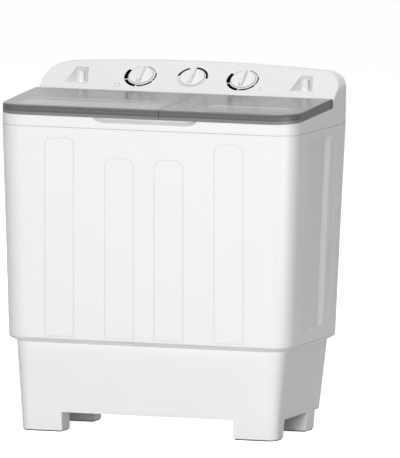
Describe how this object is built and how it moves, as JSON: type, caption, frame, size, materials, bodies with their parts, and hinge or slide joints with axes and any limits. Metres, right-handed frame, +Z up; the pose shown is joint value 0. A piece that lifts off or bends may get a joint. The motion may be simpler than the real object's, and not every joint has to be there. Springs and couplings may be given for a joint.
{
  "type": "twin tub washer",
  "caption": "Twin tub washer: tapered white cabinet with a wash tub and a spin basket under two hinged smoke-grey lids, and a sloping dial console along the back.",
  "frame": {"origin": "on the floor, under the middle of the body's width and depth", "axes": "+Z up, +Y towards the back where the console stands, +X to the right as seen from the front"},
  "size_m": [0.595, 0.35, 0.695],
  "materials": {
    "white_plastic": "glossy moulded plastic",
    "tub_plastic": "satin moulded plastic",
    "smoke_plastic": "glossy translucent plastic",
    "black_rubber": "matte",
    "switch_plastic": "matte",
    "motor_alloy": "cast",
    "steel": "brushed",
    "zinc_steel": "zinc plated",
    "bronze": "sintered"
  },
  "bodies": {
    "cabinet": {"cabinet_shell": "white_plastic", "base_skirt": "white_plastic", "foot_pads": "black_rubber", "top_deck": "white_plastic", "control_console": "white_plastic", "console_back_cover": "white_plastic", "console_cover_screws": "steel", "back_panel": "white_plastic", "back_panel_screws": "steel", "water_inlet_stubs": "white_plastic", "wash_inlet_duct": "tub_plastic", "spin_inlet_duct": "tub_plastic", "wash_tub": "tub_plastic", "spin_tub": "tub_plastic", "lint_filter": "tub_plastic", "overflow_column": "tub_plastic", "drain_valve_body": "tub_plastic", "drain_pipe": "black_rubber", "spin_drain_pipe": "black_rubber", "drain_outlet": "tub_plastic", "wash_timer": "switch_plastic", "spin_timer": "switch_plastic", "drain_selector": "switch_plastic", "timer_bracket": "zinc_steel", "wash_motor": "motor_alloy", "wash_motor_bracket": "zinc_steel", "wash_motor_grommets": "black_rubber", "drive_belt": "black_rubber", "pulsator_housing": "motor_alloy", "pulsator_bushes": "bronze", "pulsator_seal": "black_rubber", "spin_motor": "motor_alloy", "spin_motor_mounts": "black_rubber", "tub_bellows": "black_rubber", "brake_bracket": "zinc_steel", "brake_spring": "steel", "lid_switch": "switch_plastic", "capacitor": "tub_plastic", "capacitor_clip": "zinc_steel", "wiring_loom": "black_rubber", "cord_gland": "black_rubber", "lid_hinge_pins": "steel"},
    "wash_lid": {"wash_lid": "smoke_plastic"},
    "spin_lid": {"spin_lid": "smoke_plastic"},
    "wash_timer_dial": {"wash_timer_knob": "white_plastic", "wash_timer_spindle": "steel"},
    "drain_selector_dial": {"drain_selector_knob": "white_plastic", "drain_selector_spindle": "steel"},
    "spin_timer_dial": {"spin_timer_knob": "white_plastic", "spin_timer_spindle": "steel"},
    "pulsator_drive": {"pulsator": "tub_plastic", "pulsator_shaft": "steel", "pulsator_pulley": "motor_alloy"},
    "wash_motor_drive": {"wash_rotor": "motor_alloy", "motor_pulley": "motor_alloy"},
    "spin_drive": {"spin_basket": "steel", "spin_shaft": "steel"},
    "brake_lever": {"brake_lever": "zinc_steel"},
    "brake_rod": {"brake_rod": "steel"},
    "drain_plunger": {"drain_plunger": "black_rubber"}
  },
  "joints": [
    {"name": "wash_lid_hinge", "type": "hinge", "parent": "cabinet", "child": "wash_lid", "pos_m": [0, 0.066, 0.63128], "axis": [-1, 0, 0], "range_deg": [0, 100]},
    {"name": "spin_lid_hinge", "type": "hinge", "parent": "cabinet", "child": "spin_lid", "pos_m": [0, 0.066, 0.63128], "axis": [-1, 0, 0], "range_deg": [0, 100]},
    {"name": "wash_timer_turn", "type": "hinge", "parent": "cabinet", "child": "wash_timer_dial", "pos_m": [-0.103, 0.1195, 0.66627], "axis": [0, 0.5764, -0.8171], "range_deg": [0, 300]},
    {"name": "drain_selector_turn", "type": "hinge", "parent": "cabinet", "child": "drain_selector_dial", "pos_m": [0, 0.1195, 0.66627], "axis": [0, 0.5764, -0.8171], "range_deg": [-90, 90]},
    {"name": "spin_timer_turn", "type": "hinge", "parent": "cabinet", "child": "spin_timer_dial", "pos_m": [0.103, 0.1195, 0.66627], "axis": [0, 0.5764, -0.8171], "range_deg": [0, 300]},
    {"name": "pulsator_spin", "type": "hinge", "parent": "cabinet", "child": "pulsator_drive", "pos_m": [-0.117, -0.053, 0.2], "axis": [0, 0, 1], "continuous": true},
    {"name": "wash_motor_spin", "type": "hinge", "parent": "cabinet", "child": "wash_motor_drive", "pos_m": [-0.19, 0.08, 0.1], "axis": [0, 0, 1], "continuous": true},
    {"name": "spin_drive_spin", "type": "hinge", "parent": "cabinet", "child": "spin_drive", "pos_m": [0.16, -0.048, 0.2], "axis": [0, 0, 1], "continuous": true},
    {"name": "brake_lever_swing", "type": "hinge", "parent": "cabinet", "child": "brake_lever", "pos_m": [0.2, 0.01, 0.21], "axis": [-1, 0, 0], "range_deg": [0, 7]},
    {"name": "brake_rod_slide", "type": "slide", "parent": "cabinet", "child": "brake_rod", "axis": [0, 0, -1], "range_m": [0, 0.0073]},
    {"name": "drain_plunger_lift", "type": "slide", "parent": "cabinet", "child": "drain_plunger", "axis": [0, 0, 1], "range_m": [-0.0057, 0.0057]}
  ],
  "couplings": [
    {"joint": "wash_motor_spin", "follows": "pulsator_spin", "ratio": 3.0902},
    {"joint": "brake_lever_swing", "follows": "spin_lid_hinge", "ratio": 0.07},
    {"joint": "brake_rod_slide", "follows": "spin_lid_hinge", "m_per_rad": 0.00418},
    {"joint": "drain_plunger_lift", "follows": "drain_selector_turn", "m_per_rad": 0.00362}
  ]
}
